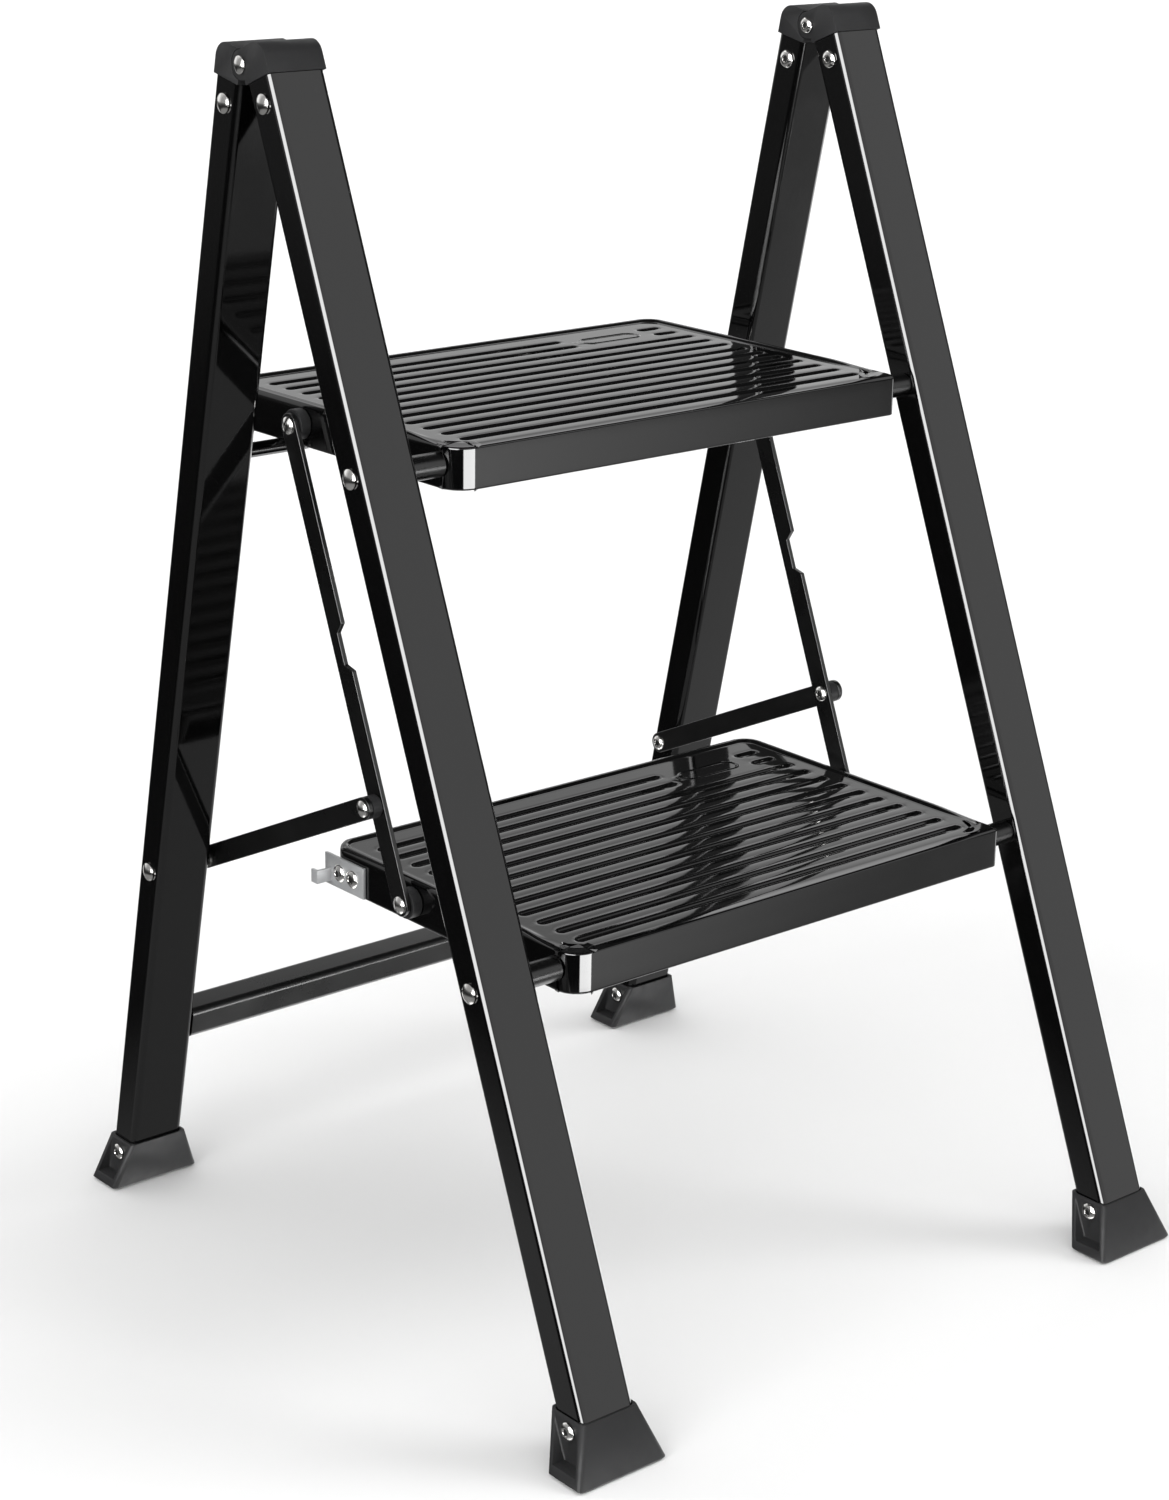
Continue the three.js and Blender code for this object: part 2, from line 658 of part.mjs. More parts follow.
const rearFrame = legGroup(REAR_LEAN);
for (const [label, side] of SIDES) {
  const holes = [
    { at: CAP_RIVET_AT, radius: SHANK_HOLE },
    { at: BRACE_PIVOT_AT, radius: SHANK_HOLE },
    { at: REAR_FOOT_RIVET_AT, radius: SHANK_HOLE },
  ];
  rearFrame.add(part(`${label}_rear_leg`, leg(side, 1, legEnd(REAR_LEAN), holes), "enamel"));
  rearFrame.add(part(`${label}_rear_hinge_cap`, hingeCap(side, 1), "plastic"));
  const legGrip = spanOn(side, LEG_INNER_X - GAP, LEG_OUTER_X + GAP);
  rearFrame.add(
    part(
      `${label}_rear_cap_rivet`,
      rivet(...legGrip, HEAD_RADIUS, HEAD_HEIGHT, LEG_OFFSET, -CAP_RIVET_AT),
      "nickel",
    ),
  );
  const footGrip = spanOn(
    side,
    LEG_INNER_X - FOOT.pocketFloor - 2 * GAP,
    LEG_OUTER_X + FOOT.pocketFloor + 2 * GAP,
  );
  rearFrame.add(
    part(
      `${label}_rear_foot_rivet`,
      rivet(...footGrip, HEAD_RADIUS, HEAD_HEIGHT, LEG_OFFSET, -REAR_FOOT_RIVET_AT),
      "nickel",
    ),
  );
  const pivot = joined(
    onSide(roundX(SHANK_RADIUS, LEG_INNER_X, LEG_OUTER_X + 1, LEG_OFFSET, -BRACE_PIVOT_AT), side),
    onSide(head(LEG_OUTER_X + GAP, 1, HEAD_RADIUS, HEAD_HEIGHT, LEG_OFFSET, -BRACE_PIVOT_AT), side),
  );
  rearFrame.add(part(`${label}_brace_pivot_outer_rivet`, pivot, "nickel"));
  ladder.add(
    part(`${label}_rear_foot`, foot(side, 1, REAR_LEAN, REAR_FOOT, REAR_FOOT_RIVET_AT), "plastic"),
  );
}
const crossbarReach = LEG_INNER_X - GAP;
rearFrame.add(
  part(
    "upper_rear_crossbar",
    solid(roundX(UPPER_CROSSBAR_RADIUS, -crossbarReach, crossbarReach, LEG_OFFSET, -UPPER_CROSSBAR_AT, 16)),
    "enamel",
  ),
);
const half = LOWER_CROSSBAR_SIZE / 2;
const tubeOutline = (inset) =>
  roundedRectangle(
    LEG_OFFSET - half + inset,
    LEG_OFFSET + half - inset,
    -LOWER_CROSSBAR_AT - half + inset,
    -LOWER_CROSSBAR_AT + half - inset,
    LEG_CORNER - inset,
  );
rearFrame.add(
  part(
    "lower_rear_crossbar",
    cut(
      solid(alongX(tubeOutline(0), -crossbarReach, crossbarReach, 3)),
      solid(alongX(tubeOutline(LEG_WALL), -crossbarReach - 1, crossbarReach + 1, 3)),
    ),
    "enamel",
  ),
);
ladder.add(rearFrame);

// ---------------------------------------------------------------- steps and their links

const pan = stepPan();

for (const [label, pivot] of [
  ["upper", upperPivot],
  ["lower", lowerPivot],
]) {
  const group = groupAt(pivot);
  const isLower = label === "lower";
  let step = pan;
  if (isLower) {
    const drill = (y) =>
      onSide(roundX(SHANK_HOLE, STEP_HALF_WIDTH - 5, STEP_HALF_WIDTH + 1, y, CATCH.rivetZ), -1);
    step = cut(pan, ...CATCH.rivetsAt.map(drill));
  }
  group.add(part(`${label}_step`, step, "enamel"));
  for (const [sideLabel, side] of SIDES) {
    const span = spanOn(side, STEP_HALF_WIDTH + GAP, LONG_LINK_X[0] - GAP);
    const spacer = cut(
      solid(roundX(LINK_SPACER_RADIUS, ...span, LINK_PIVOT_Y, 0, 20)),
      solid(roundX(SHANK_HOLE, span[0] - 1, span[1] + 1, LINK_PIVOT_Y)),
    );
    group.add(part(`${label}_${sideLabel}_link_spacer`, spacer, "plastic"));
    const grip = spanOn(side, STEP_HALF_WIDTH - STEP_SHEET - GAP, LONG_LINK_X[1] + GAP);
    group.add(
      part(
        `${label}_${sideLabel}_link_rivet`,
        rivet(...grip, SMALL_HEAD_RADIUS, SMALL_HEAD_HEIGHT, LINK_PIVOT_Y),
        "nickel",
      ),
    );
  }
  if (isLower) {
    group.add(part("catch_plate", catchPlate(-1), "zinc"));
    const clinch = STEP_HALF_WIDTH - STEP_SHEET - GAP - CATCH.clinchSetback;
    const seat = STEP_HALF_WIDTH + CATCH.thickness + 2 * GAP;
    CATCH.rivetsAt.forEach((y, i) => {
      const pieces = [
        roundX(SHANK_RADIUS, clinch - 1, seat + 0.5, y, CATCH.rivetZ),
        roundX(CATCH.clinchRadius, clinch - 1, clinch, y, CATCH.rivetZ),
        head(seat, 1, HEAD_RADIUS, 1.5, y, CATCH.rivetZ),
      ];
      const name = ["catch_front_rivet", "catch_rear_rivet"][i];
      group.add(part(name, joined(...pieces.map((piece) => onSide(piece, -1))), "nickel"));
    });
  }
  ladder.add(group);
}

const longLinks = groupAt(longLinkTop, -FRONT_LEAN);
const shortLinks = groupAt(braceJoint, BRACE_LEAN);
for (const [label, side] of SIDES) {
  const longSpan = spanOn(side, ...LONG_LINK_X);
  const link = cut(
    bar(LONG_LINK_LENGTH, LONG_LINK_WIDTH, longSpan, [0, BRACE_AT, LONG_LINK_LENGTH]),
    notch(longSpan),
  );
  longLinks.add(part(`${label}_long_link`, link, "enamel"));
  const spacerSpan = spanOn(side, LONG_LINK_X[1] + GAP, SHORT_LINK_X[0] - GAP);
  const spacer = cut(
    solid(roundX(BRACE_SPACER_RADIUS, ...spacerSpan, 0, -BRACE_AT, 16)),
    solid(roundX(SHANK_HOLE, spacerSpan[0] - 1, spacerSpan[1] + 1, 0, -BRACE_AT)),
  );
  longLinks.add(part(`${label}_brace_spacer`, spacer, "plastic"));
  const grip = spanOn(side, LONG_LINK_X[0] - GAP, SHORT_LINK_X[1] + GAP);
  longLinks.add(
    part(
      `${label}_brace_rivet`,
      rivet(...grip, SMALL_HEAD_RADIUS, SMALL_HEAD_HEIGHT, 0, -BRACE_AT),
      "nickel",
    ),
  );

  const shortSpan = spanOn(side, ...SHORT_LINK_X);
  shortLinks.add(
    part(
      `${label}_short_link`,
      bar(BRACE_LENGTH, SHORT_LINK_WIDTH, shortSpan, [0, BRACE_LENGTH]),
      "enamel",
    ),
  );
  const washerSpan = spanOn(side, SHORT_LINK_X[1] + GAP, LEG_INNER_X - GAP);
  const washer = cut(
    solid(roundX(BRACE_SPACER_RADIUS, ...washerSpan, 0, -BRACE_LENGTH, 16)),
    solid(roundX(SHANK_HOLE, washerSpan[0] - 1, washerSpan[1] + 1, 0, -BRACE_LENGTH)),
  );
  shortLinks.add(part(`${label}_brace_pivot_washer`, washer, "nickel"));
  const pivot = joined(
    onSide(roundX(SHANK_RADIUS, SHORT_LINK_X[0] - 1, LEG_INNER_X - GAP, 0, -BRACE_LENGTH), side),
    onSide(head(SHORT_LINK_X[0] - GAP, -1, SMALL_HEAD_RADIUS, SMALL_HEAD_HEIGHT, 0, -BRACE_LENGTH), side),
  );
  shortLinks.add(part(`${label}_brace_pivot_inner_rivet`, pivot, "nickel"));
}
ladder.add(longLinks, shortLinks);

export default ladder;
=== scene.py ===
"""A folding two-step ladder in gloss black enamel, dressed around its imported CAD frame.

The frame gives the places: pivots come from the record's joints, and the size of each piece
from the box of the CAD node that it stands for. The values below describe what those don't give:
details, edges, the camera and the studio. Lengths are in metres, apart from the step's sections.
"""

import json
import math

import bpy
import numpy as np
from mathutils import Matrix, Vector

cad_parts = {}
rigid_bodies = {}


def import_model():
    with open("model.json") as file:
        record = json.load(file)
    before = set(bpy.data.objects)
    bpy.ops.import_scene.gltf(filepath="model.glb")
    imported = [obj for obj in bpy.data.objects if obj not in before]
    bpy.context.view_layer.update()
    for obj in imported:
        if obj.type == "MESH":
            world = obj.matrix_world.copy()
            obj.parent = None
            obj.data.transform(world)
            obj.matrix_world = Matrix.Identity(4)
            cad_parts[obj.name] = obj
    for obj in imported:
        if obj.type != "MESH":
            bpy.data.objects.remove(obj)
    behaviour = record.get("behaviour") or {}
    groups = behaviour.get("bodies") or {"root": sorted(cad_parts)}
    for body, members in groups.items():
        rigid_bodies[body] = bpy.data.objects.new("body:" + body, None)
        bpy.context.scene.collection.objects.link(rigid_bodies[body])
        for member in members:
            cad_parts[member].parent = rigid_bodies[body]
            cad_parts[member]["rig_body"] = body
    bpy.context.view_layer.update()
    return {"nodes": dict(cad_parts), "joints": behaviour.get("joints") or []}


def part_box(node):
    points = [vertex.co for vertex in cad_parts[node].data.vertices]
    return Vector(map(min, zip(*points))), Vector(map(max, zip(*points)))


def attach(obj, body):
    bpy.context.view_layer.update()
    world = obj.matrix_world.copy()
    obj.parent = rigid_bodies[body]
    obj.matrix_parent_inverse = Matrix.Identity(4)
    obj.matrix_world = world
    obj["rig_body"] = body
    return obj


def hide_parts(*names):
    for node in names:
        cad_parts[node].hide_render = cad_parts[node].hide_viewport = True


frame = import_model()

MM = 0.001
LEFT, RIGHT = -1, 1
SIDES = {"left": LEFT, "right": RIGHT}
LEVELS = ("upper", "lower")

# Rounded corners and edges, and the sheet of the steps.
LEG_CORNER = 3.5 * MM
LINK_EDGE = 0.35 * MM
FOOT_EDGE = 0.8 * MM
CAP_EDGE = 0.7 * MM
CATCH_EDGE = 0.35 * MM
COLLAR_EDGE = 0.5 * MM
STEP_SHEET = 1.3 * MM

# Rivets, spacers and weld beads.
HEAD_HEIGHT = 2.0 * MM
DIMPLE_DEPTH = 1.1 * MM
ROD_BORE = 4.3 * MM
RIVET_BORE = 2.8 * MM
WELD_RADIUS = 1.1 * MM
WELD_INSET = 1.3 * MM

# Pressed pattern of a step, measured from its pivot.
STEP_TOP = 10 * MM
GROOVE_COUNT = 12
GROOVE_FIRST = 1.7 * MM
GROOVE_PITCH = 14.6 * MM
GROOVE_HALF_WIDTH = 2.9 * MM
GROOVE_DEPTH = 1.8 * MM
GROOVE_REACH = 134 * MM
GROOVE_SHOULDER = 0.15 * MM  # how far the bands between the grooves dip at their edges
BAND_CROWN = 0.1 * MM  # how far they rise in their middle
PLAIN_ROWS = 2  # the last grooves, which the plain field interrupts
PLAIN_FIELD = (61 * MM, 119 * MM)
PLATE_CENTRE = (90 * MM, 153.5 * MM)  # a blank capsule outlined by a ridge in the plain field
PLATE_HALF_LENGTH = 20 * MM
PLATE_RADIUS = 6 * MM
RIDGE_HEIGHT = 0.6 * MM
RIDGE_HALF_WIDTH = 0.8 * MM

# Edges of a step. Its raised rim is whole at the back and dies away towards the front: it grows
# over BEAD_BACK behind the front edge. Round the right front corner BEAD_TURN of it is left, which
# dies away over BEAD_FADE along the front.
SKIRT_CORNER = {LEFT: 12 * MM, RIGHT: 2 * MM}
TOP_CORNER = {LEFT: 16 * MM, RIGHT: 20 * MM}
REAR_CORNER = 12 * MM
BEAD_BACK = (15 * MM, 50 * MM)
BEAD_TURN = 0.4
BEAD_FADE = 20 * MM

# Sections through a step's edges in millimetres: (distance in from the outline, height above the
# pivot). SKIRT runs from the edge of its return round the fold at its foot and up. The other two,
# point for point, go on from there over the edge of the top, at the sides and at the front.
SKIRT = [
    (3.6, -11.2),
    (2.2, -11.7),
    (1.2, -11.95),
    (0.7, -12.0),
    (0.25, -11.75),
    (0.05, -11.35),
    (0.01, -10.9),
    (0, -10.5),
    (0, -4),
    (0, 2),
]
SIDE_EDGE = [
    (0, 6.4),
    (0.01, 7.0),
    (0.12, 8.8),
    (0.6, 10.3),
    (1.5, 11.2),
    (2.7, 11.5),
    (3.9, 11.2),
    (4.7, 10.6),
    (5.3, 10.1),
    (6.0, 10.0),
    (7.4, 10.0),
]
FRONT_EDGE = [
    (0, 8.2),
    (0.01, 8.55),
    (0.1, 8.9),
    (0.35, 9.18),
    (0.8, 9.36),
    (1.6, 9.52),
    (2.8, 9.72),
    (4.0, 9.88),
    (5.0, 9.97),
    (6.0, 10.0),
    (7.4, 10.0),
]
CORNERS_OF_TOP_AT = 3.9  # this far in, the outline's corners are those of the top

# Grid of a step's top: how far behind the front edge it starts, and in each direction its coarse
# spacing, its fine spacing, and how near a groove or the capsule it is fine.
GRID_FRONT = 10.5 * MM
GRID_IN_X = (5 * MM, 0.6 * MM, 4.5 * MM)
GRID_IN_Y = (1.3 * MM, 0.4 * MM, 5 * MM)

# Notch of a long link, along it from its upper pivot.
NOTCH_FROM = 103.5 * MM
NOTCH_TO = 128 * MM
NOTCH_DEPTH = 5.5 * MM
NOTCH_SLOPE = 4 * MM

# Camera: it looks down at the ladder from the front left.
CAMERA_AT = (-1.05243, -1.19956, 0.79659)
CAMERA_AZIMUTH = 40.35
CAMERA_ELEVATION = 18.30
CAMERA_ROLL = 0.86
CAMERA_LENS = 75.74

# The pale floor's section: (distance out from the ladder, height) in metres.
FLOOR = [(0, 0), (3, 0), (6, 0), (9, 0.12), (12, 0.6), (15, 1.8), (17, 3.6), (18, 6.5)]

# What the gloss mirrors from below the horizon, as (degrees from the front, brightness). The
# steps' skirts mirror the upper band, and the folds at their feet mirror the lower band.
UPPER_BAND = [
    (-180, 0.02),
    (-25, 0.02),
    (-20, 1.35),
    (36, 1.35),
    (46, 0.34),
    (50, 0.34),
    (56, 3.0),
    (110, 3.0),
    (180, 0.5),
]
LOWER_BAND = [
    (-180, 0.25),
    (-60, 0.25),
    (45, 0.24),
    (53, 0.55),
    (80, 0.6),
    (100, 1.2),
    (160, 1.0),
    (180, 0.3),
]
UNDERFOOT = 2.2
PANEL_LEVEL = 12.0


# ---------------------------------------------------------------- places from the frame

joints = {joint["name"]: joint for joint in frame["joints"]}


def pivot(name):
    """The (y, z) of a joint's axis."""
    return Vector(joints[name]["pos_m"][1:])


def middle(node):
    """The (y, z) of the middle of a CAD node."""
    low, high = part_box(node)
    return Vector(((low.y + high.y) / 2, (low.z + high.z) / 2))


def span_x(node):
    """The least and greatest x of a CAD node."""
    low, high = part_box(node)
    return low.x, high.x


def span_along(node, direction):
    """The least and greatest place of a CAD node's points along a direction in (y, z)."""
    places = [v.co.y * direction.x + v.co.z * direction.y for v in frame["nodes"][node].data.vertices]
    return min(places), max(places)


def radius_about_x(node):
    """The radius of a round CAD node whose axis lies along X."""
    low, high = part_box(node)
    return (high.z - low.z) / 2


def square_to(down):
    """The direction in (y, z) at right angles to down."""
    return Vector((-down.y, down.x))


def body_of_node(node):
    return frame["nodes"][node]["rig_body"]


STEP_PIVOT = {level: pivot(f"{level}_step_tilt") for level in LEVELS}
LINK_TOP = pivot("left_long_link_turn")
LINK_FOOT = LINK_TOP + STEP_PIVOT["lower"] - STEP_PIVOT["upper"]
BRACE_TOP = pivot("left_short_link_turn")
BRACE_FOOT = middle("left_brace_pivot_outer_rivet")
DOWN = {
    "front": (STEP_PIVOT["lower"] - STEP_PIVOT["upper"]).normalized(),
    "rear": (middle("left_rear_foot_rivet") - middle("left_rear_cap_rivet")).normalized(),
}


# ---------------------------------------------------------------- node materials


class Shader:
    """A principled material with short ways to add the nodes that this script needs."""

    def __init__(self, name):
        self.material = bpy.data.materials.new(name)
        self.material.use_nodes = True
        self.nodes = self.material.node_tree.nodes
        self.links = self.material.node_tree.links
        self.shader = self.nodes["Principled BSDF"]
        self.place = self.nodes.new("ShaderNodeTexCoord").outputs["Object"]

    def set(self, **values):
        for key, value in values.items():
            self.shader.inputs[key.replace("_", " ")].default_value = value

    def link(self, output, socket):
        self.links.new(output, self.shader.inputs[socket])

    def stretched(self, scale):
        mapping = self.nodes.new("ShaderNodeMapping")
        mapping.inputs["Scale"].default_value = scale
        self.links.new(self.place, mapping.inputs["Vector"])
        return mapping.outputs["Vector"]

    def noise(self, scale, detail=3.0, roughness=0.5, place=None):
        node = self.nodes.new("ShaderNodeTexNoise")
        node.inputs["Scale"].default_value = scale
        node.inputs["Detail"].default_value = detail
        node.inputs["Roughness"].default_value = roughness
        self.links.new(place or self.place, node.inputs["Vector"])
        return node.outputs["Fac"]

    def ramp(self, value, stops):
        node = self.nodes.new("ShaderNodeValToRGB")
        elements = node.color_ramp.elements
        while len(elements) < len(stops):
            elements.new(0.5)
        for element, (at, level) in zip(elements, stops):
            colour = level if isinstance(level, tuple) else (level, level, level)
            element.position = at
            element.color = (*colour, 1)
        self.links.new(value, node.inputs["Fac"])
        return node.outputs["Color"]

    def bump(self, *layers):
        """Each layer is (height, strength, distance in metres)."""
        normal = None
        for height, strength, distance in layers:
            node = self.nodes.new("ShaderNodeBump")
            node.inputs["Strength"].default_value = strength
            node.inputs["Distance"].default_value = distance
            self.links.new(height, node.inputs["Height"])
            if normal is not None:
                self.links.new(normal, node.inputs["Normal"])
            normal = node.outputs["Normal"]
        self.link(normal, "Normal")


def enamel_material(name, smooth_at, rough_at):
    """Thick enamel: a slight orange peel, soft waves and a little dust in its gloss."""
    dark, light = (0.0006, 0.0006, 0.0006), (0.0012, 0.0012, 0.0013)
    m = Shader(name)
    m.link(m.ramp(m.noise(7.0), [(0.3, dark), (0.7, light)]), "Base Color")
    m.link(m.ramp(m.noise(38.0, 5.0, 0.6), [(0.35, smooth_at), (0.7, rough_at)]), "Roughness")
    m.set(IOR=1.7)
    m.bump((m.noise(11.0, 1.0), 0.10, 0.0006), (m.noise(420.0, 2.0), 0.05, 0.0001))
    return m.material


def plastic_material():
    """Satin moulded plastic with a fine grain."""
    dark, light = (0.012, 0.012, 0.0125), (0.016, 0.016, 0.0165)
    m = Shader("satin_plastic")
    m.link(m.ramp(m.noise(30.0, 4.0), [(0.3, dark), (0.7, light)]), "Base Color")
    m.link(m.ramp(m.noise(160.0, 3.0), [(0.3, 0.46), (0.7, 0.58)]), "Roughness")
    m.set(IOR=1.36)
    m.bump((m.noise(900.0, 3.0, 0.6), 0.14, 0.0001), (m.noise(60.0, 1.0), 0.08, 0.0004))
    return m.material


def metal_material(name, dark, light, smooth_at, rough_at, grain, metallic):
    """Plated steel: its gloss varies along a fine grain."""
    m = Shader(name)
    m.link(m.ramp(m.noise(90.0, 4.0), [(0.3, dark), (0.7, light)]), "Base Color")
    m.set(Metallic=metallic)
    streaks = m.noise(220.0, 3.0, 0.6, m.stretched(grain))
    m.link(m.ramp(streaks, [(0.3, smooth_at), (0.7, rough_at)]), "Roughness")
    m.bump((streaks, 0.10, 0.00008))
    return m.material


def dimple_shade_material():
    """A dark colour painted inside the dimple of a tubular rivet's rolled end, as painted shade for
    that recess.
    """
    dark, light = (0.012, 0.012, 0.012), (0.03, 0.029, 0.028)
    m = Shader("rivet_dimple_painted_shade")
    m.link(m.ramp(m.noise(300.0), [(0.3, dark), (0.7, light)]), "Base Color")
    m.set(Metallic=0.6, Roughness=0.6)
    return m.material


ENAMEL = enamel_material("gloss_enamel", 0.05, 0.09)
PLASTIC = plastic_material()
NICKEL = metal_material(
    "nickel_plate", (0.70, 0.69, 0.67), (0.82, 0.81, 0.79), 0.12, 0.26, grain=(1, 1, 1), metallic=1.0
)
ZINC = metal_material(
    "zinc_plate", (0.30, 0.305, 0.31), (0.36, 0.365, 0.37), 0.38, 0.5, grain=(1, 1, 6), metallic=0.45
)
# Painted shade: the dark colour given to the dimples of rolled rivet ends.
DIMPLE_SHADE = dimple_shade_material()
DULL_ENAMEL = enamel_material("dull_enamel", 0.26, 0.34)


# ---------------------------------------------------------------- mesh code


def piece(name, vertices, faces, material, sharp=35):
    """An object of these points and faces, smooth except across edges sharper than sharp degrees."""
    mesh = bpy.data.meshes.new(name)
    mesh.from_pydata([tuple(v) for v in vertices], [], faces)
    mesh.materials.append(material)
    mesh.shade_smooth()
    mesh.set_sharp_from_angle(angle=math.radians(sharp))
    made = bpy.data.objects.new(name, mesh)
    bpy.context.scene.collection.objects.link(made)
    return made


def stands_for(made, node):
    """The piece rides with a CAD node's body and is shown in its place."""
    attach(made, body_of_node(node))
    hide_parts(node)


def keep_flat(made):
    """Shades large faces flat and leaves the bend to the small ones."""
    modifier = made.modifiers.new("flat_faces", "WEIGHTED_NORMAL")
    modifier.keep_sharp = True
    modifier.weight = 100


def round_edges(made, width):
    """Bevels edges that turn more than 40 degrees."""
    modifier = made.modifiers.new("edges", "BEVEL")
    modifier.width = width
    modifier.segments = 2
    modifier.limit_method = "ANGLE"
    modifier.angle_limit = math.radians(40)
    modifier.harden_normals = True


def weld_seam(made):
    """Joins points that lie on one another."""
    modifier = made.modifiers.new("join", "WELD")
    modifier.merge_threshold = 0.01 * MM


def lathe(name, profile, y, z, material, sides=36, shaded_stretches=()):
    """A turned piece about an axis along X through (y, z). The profile is its (x, radius) points;
    the stretches between them listed in the last argument are coloured dark, as painted shade in a
    rivet's dimple."""
    vertices, rings = [], []
    for x, radius in profile:
        if radius == 0:
            rings.append([len(vertices)])
            vertices.append((x, y, z))
            continue
        rings.append(list(range(len(vertices), len(vertices) + sides)))
        for i in range(sides):
            turn = 2 * math.pi * i / sides
            vertices.append((x, y + radius * math.cos(turn), z + radius * math.sin(turn)))
    faces, dark = [], []
    for k, (a, b) in enumerate(zip(rings, rings[1:])):
        for i in range(sides):
            j = (i + 1) % sides
            corners = [a[i % len(a)], a[j % len(a)], b[j % len(b)], b[i % len(b)]]
            faces.append(list(dict.fromkeys(corners)))
            dark.append(k in shaded_stretches)
    made = piece(name, vertices, faces, material)
    # Second slot: the dark colour of painted shade, for the dimple stretches of rolled rivet ends.
    made.data.materials.append(DIMPLE_SHADE)
    made.data.polygons.foreach_set("material_index", [int(d) for d in dark])
    return made


def arc(centre, radius, start, end, steps):
    """Points on an arc from start to end in degrees."""
    for i in range(steps + 1):
        turn = math.radians(start + (end - start) * i / steps)
        yield centre[0] + radius * math.cos(turn), centre[1] + radius * math.sin(turn)


def rounded_rectangle(x0, x1, y0, y1, radius):
    corners = [
        ((x1 - radius, y1 - radius), 0),
        ((x0 + radius, y1 - radius), 90),
        ((x0 + radius, y0 + radius), 180),
        ((x1 - radius, y0 + radius), 270),
    ]
    return [p for centre, start in corners for p in arc(centre, radius, start, start + 90, 8)]


def prism(name, outline, place, start, end, material):
    """An outline in (a, b) drawn out from start to end: place(a, b, c) gives the point."""
    count = len(outline)
    vertices = [place(a, b, c) for c in (start, end) for a, b in outline]
    faces = [[i, (i + 1) % count, count + (i + 1) % count, count + i] for i in range(count)]
    faces += [list(range(count))[::-1], list(range(count, 2 * count))]
    made = piece(name, vertices, faces, material)
    flip_if_inside_out(made.data)
    return made


def flip_if_inside_out(mesh):
    """Turns the faces of a closed mesh outwards, by the sign of its volume."""
    mesh.calc_loop_triangles()
    points = np.array([v.co for v in mesh.vertices])
    corners = points[np.array([t.vertices for t in mesh.loop_triangles])]
    volume = np.einsum("ij,ij->i", corners[:, 0], np.cross(corners[:, 1], corners[:, 2])).sum()
    if volume < 0:
        mesh.flip_normals()


# ---------------------------------------------------------------- legs and bars


def leg_tube(node, down):
    """A tube with rounded corners that fills a CAD node's room, drawn out along down in (y, z)."""
    across = square_to(down)
    outline = rounded_rectangle(*span_x(node), *span_along(node, across), LEG_CORNER)

    def place(x, a, along):
        point = across * a + down * along
        return x, point.x, point.y

    made = prism(f"{node}_tube", outline, place, *span_along(node, down), ENAMEL)
    keep_flat(made)
    stands_for(made, node)


for side in SIDES:
    for end, down in DOWN.items():
        leg_tube(f"{side}_{end}_leg", down)


def lower_crossbar():
    """A square tube between the rear legs, drawn out along X."""
    node = "lower_rear_crossbar"
    down = DOWN["rear"]
    across = square_to(down)
    outline = rounded_rectangle(*span_along(node, across), *span_along(node, down), LEG_CORNER)

    def place(a, b, x):
        point = across * a + down * b
        return x, point.x, point.y

    made = prism("lower_crossbar_tube", outline, place, *span_x(node), DULL_ENAMEL)
    keep_flat(made)
    stands_for(made, node)


lower_crossbar()


def weld_bead(name, node, x, radius):
    """A lumpy fillet where a crossbar meets a leg, round the bar's section."""
    centre = middle(node)
    steps, ring = 64, 8
    vertices, faces = [], []
    for i in range(steps):
        turn = 2 * math.pi * i / steps
        lump = 1 + 0.16 * math.sin(9 * turn) + 0.09 * math.sin(23 * turn + 1)
        way = Vector((math.cos(turn), math.sin(turn)))
        for k in range(ring):
            bend = 2 * math.pi * k / ring
            out = centre + way * (radius + WELD_RADIUS * lump * math.cos(bend))
            vertices.append((x + WELD_RADIUS * lump * math.sin(bend), out.x, out.y))
    for i in range(steps):
        for k in range(ring):
            j, m = (i + 1) % steps, (k + 1) % ring
            faces.append([i * ring + k, j * ring + k, j * ring + m, i * ring + m])
    made = piece(name, vertices, faces, ENAMEL)
    flip_if_inside_out(made.data)
    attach(made, body_of_node(node))


def upper_crossbar():
    """A thin rod between the rear legs, welded at both ends."""
    node = "upper_rear_crossbar"
    x0, x1 = span_x(node)
    radius = radius_about_x(node)
    y, z = middle(node)
    profile = [(x0, 0), (x0, radius), (x1, radius), (x1, 0)]
    made = lathe("upper_crossbar_rod", profile, y, z, ENAMEL)
    stands_for(made, node)
    for side, sign in SIDES.items():
        weld_bead(f"{side}_upper_crossbar_weld", node, sign * (x1 - WELD_INSET), radius)


upper_crossbar()


# ---------------------------------------------------------------- rivets, rods and spacers


def domed_end(x, sign, radius):
    """A low dome over the end of a rivet, from the axis to the shank's side of the head."""
    rim = 0.3 * HEAD_HEIGHT
    points = [(rim + (HEAD_HEIGHT - rim) * (1 - t * t), radius * t) for t in np.linspace(0, 1, 9)]
    return [(x + sign * a, r) for a, r in points] + [(x, radius * 0.97)]


def rolled_end(x, sign, radius):
    """A dome turned in to a small dimple, which is the profile's first two stretches."""
    hole = 0.34 * radius
    lip = 0.14 * radius
    dome = [
        (HEAD_HEIGHT * math.sin(t), radius * math.cos(t))
        for t in np.linspace(math.acos((hole + lip) / radius), 0.2, 9)
    ]
    crest = dome[0][0]
    rim = [(crest - 0.45 * lip, hole), (crest - 0.1 * lip, hole + 0.35 * lip)]
    dimple = [(crest - DIMPLE_DEPTH, 0), (crest - DIMPLE_DEPTH + 0.1 * MM, hole * 0.9)]
    points = [*dimple, *rim, *dome, (0, radius * 0.985)]
    return [(x + sign * a, r) for a, r in points]


